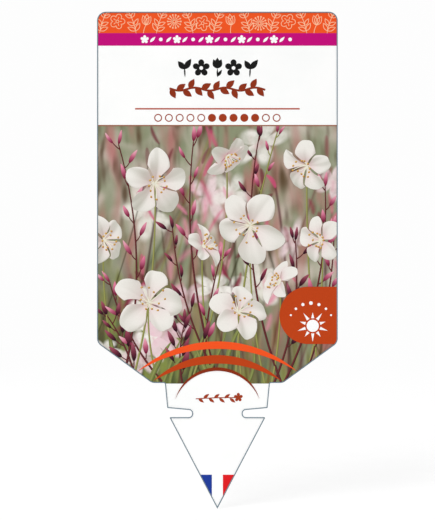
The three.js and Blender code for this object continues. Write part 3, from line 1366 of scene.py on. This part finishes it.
# %% [markdown]
# The die's cutting line was printed too, and the cut left a thin blue-grey line of it all
# round the edge. It is the rim of the sheet's front: the front is joined into one face,
# points that lie closer together than the line is wide are merged, the face is inset by
# the width of the line, and its middle is deleted.
# %% The line round the edge
KEYLINE = 0.32
MERGE = 0.1
bm = front_of_sheet("edge")
bmesh.ops.dissolve_faces(bm, faces=bm.faces[:])
bmesh.ops.remove_doubles(bm, verts=bm.verts[:], dist=MERGE * MM)
front = bm.faces[:]
print("the front is", len(front), "face with", len(front[0].verts), "corners")
bmesh.ops.inset_region(bm, faces=front, thickness=KEYLINE * MM, use_even_offset=True, use_boundary=True)
bmesh.ops.delete(bm, geom=front, context="FACES")
film("keyline", bm, finishes["die_line"], "edge")

# %% [markdown]
# The label is photographed on white, so the studio is a light tent: a round floor that
# curves up into walls, spun from one profile. Near the label it is painted board, which
# takes a soft shadow. Further out it glows as lit fabric does, so that no horizon shows.
# Its front half is a shade darker, so that the white back of the label stands out.
# %% The light tent
TENT_LIGHT = 0.985
FRONT_SHARE = 0.75
FRONT_FROM = -0.024
FRONT_TO = -0.42
TENT_FLOOR = 0.85
TENT_RADIUS = 1.7
TENT_CURVE = 0.5
TENT_HEIGHT = 1.9
BOARD_RADIUS = 0.12
BOARD_SHARE = 0.45
CURVE_STEPS = 12
TENT_SIDES = 64
floor = TIP * MM


def tent_fabric():
    material, tree, shader = new_material("tent_fabric")
    coordinates = add_node(tree, "ShaderNodeTexCoord").outputs["Object"]
    across = vector_node(tree, "LENGTH", vector_node(tree, "MULTIPLY", coordinates, (1, 1, 0)))
    board = spread(tree, across, BOARD_RADIUS, TENT_FLOOR, BOARD_SHARE, 0, smooth=True)
    shade = spread(tree, split(tree, coordinates)["Y"], FRONT_FROM, FRONT_TO, 1, FRONT_SHARE, smooth=True)
    weave = noise_range(tree, noise(tree, coordinates, 60.0, 3.0), 0.965, 0.985)
    painted = times(tree, times(tree, board, weave), shade)
    glowing = times(tree, rest_of_one(tree, board), shade)
    feed(tree, shader, {
        "Base Color": grey(tree, painted),
        "Emission Color": (1, 1, 1),
        "Emission Strength": times(tree, glowing, TENT_LIGHT),
        "Roughness": 0.9,
        "Specular IOR Level": 0.0,
    })
    return material


points = [(0, floor), (BOARD_RADIUS, floor), (TENT_FLOOR, floor)]
for i in range(1, CURVE_STEPS + 1):
    angle = math.pi / 2 * i / CURVE_STEPS
    out = TENT_RADIUS - TENT_CURVE * (1 - math.sin(angle))
    points.append((out, floor + TENT_CURVE * (1 - math.cos(angle))))
points.append((TENT_RADIUS, TENT_HEIGHT))
bm = bmesh.new()
profile = [bm.verts.new(spot(x, z)) for x, z in points]
edges = [bm.edges.new(pair) for pair in zip(profile, profile[1:])]
bmesh.ops.spin(bm, geom=profile + edges, cent=(0, 0, 0), axis=(0, 0, 1), angle=math.tau,
               steps=TENT_SIDES, use_merge=True)
bmesh.ops.remove_doubles(bm, verts=bm.verts[:], dist=MERGE_DISTANCE)
bmesh.ops.recalc_face_normals(bm, faces=bm.faces[:])
for face in bm.faces:
    face.smooth = True
tent = mesh_object("light_tent", bm, tent_fabric())
tent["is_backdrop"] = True

# %% [markdown]
# Besides the tent's own glow there is one large soft lamp, high on the left in front. It
# gives the plastic a first direction of light without a hard shadow. The view transform
# is set to Standard, so that a print's colour on screen is the colour that was mixed.
# %% Lamp and world
bpy.context.scene.view_settings.view_transform = "Standard"
world = bpy.data.worlds.new("studio")
bpy.context.scene.world = world
world.use_nodes = True
feed(world.node_tree, world.node_tree.nodes["Background"], {"Color": (1, 1, 1), "Strength": TENT_LIGHT})

LAMP_PLACE = Vector((-0.75, -1.0, 1.1))
LAMP_AIM = Vector((0, 0, 0.05))
lamp_data = bpy.data.lights.new("soft_lamp", "AREA")
lamp_data.shape = "DISK"
lamp_data.size = 0.9
lamp_data.energy = 9.1
lamp = add_object("soft_lamp", lamp_data)
lamp.location = LAMP_PLACE
lamp.rotation_euler = (LAMP_AIM - LAMP_PLACE).to_track_quat("-Z", "Y").to_euler()
print("the lamp gives", round(lamp_data.energy, 1), "watts over a disk of", round(lamp_data.size, 2), "m")

# %% [markdown]
# The photograph is taken square on, from the height of its own middle. Its scale is known
# from the width of the card, so the distance at which the frame is filled follows from
# the lens.
# %% The camera
PHOTO_WIDTH = 435
PHOTO_HEIGHT = 520
CARD_WIDTH_PIXELS = 240.9
AXIS_COLUMN = 217.38  # where the photograph has the middle of the card
NOTCH_ROW = 413.8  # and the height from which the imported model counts
mm_per_pixel = 2 * CARD_HALF / CARD_WIDTH_PIXELS
lens = bpy.data.cameras.new("camera")
lens.lens = 100
lens.sensor_width = 36
lens.clip_start = 0.01
lens.clip_end = 20
camera = add_object("camera", lens)
away = PHOTO_HEIGHT * mm_per_pixel * lens.lens / lens.sensor_width
across = (PHOTO_WIDTH / 2 - AXIS_COLUMN) * mm_per_pixel
height = (NOTCH_ROW - PHOTO_HEIGHT / 2) * mm_per_pixel
camera.location = Vector((across, FRONT - away, height)) * MM
camera.rotation_euler = (math.radians(90), 0, 0)
bpy.context.scene.camera = camera
print("the camera stands", round(away), "mm in front, at a height of", round(height), "mm")

# %% [markdown]
# The prints must not make the label bigger than the imported model, so the growth of the
# label's box over the model's is printed.
# %% Sizes, and the end
visual_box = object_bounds()
growth = (visual_box[1] - visual_box[0]) - (cad_box[1] - cad_box[0])
print("the print adds", [round(g / MM, 3) for g in growth], "mm")
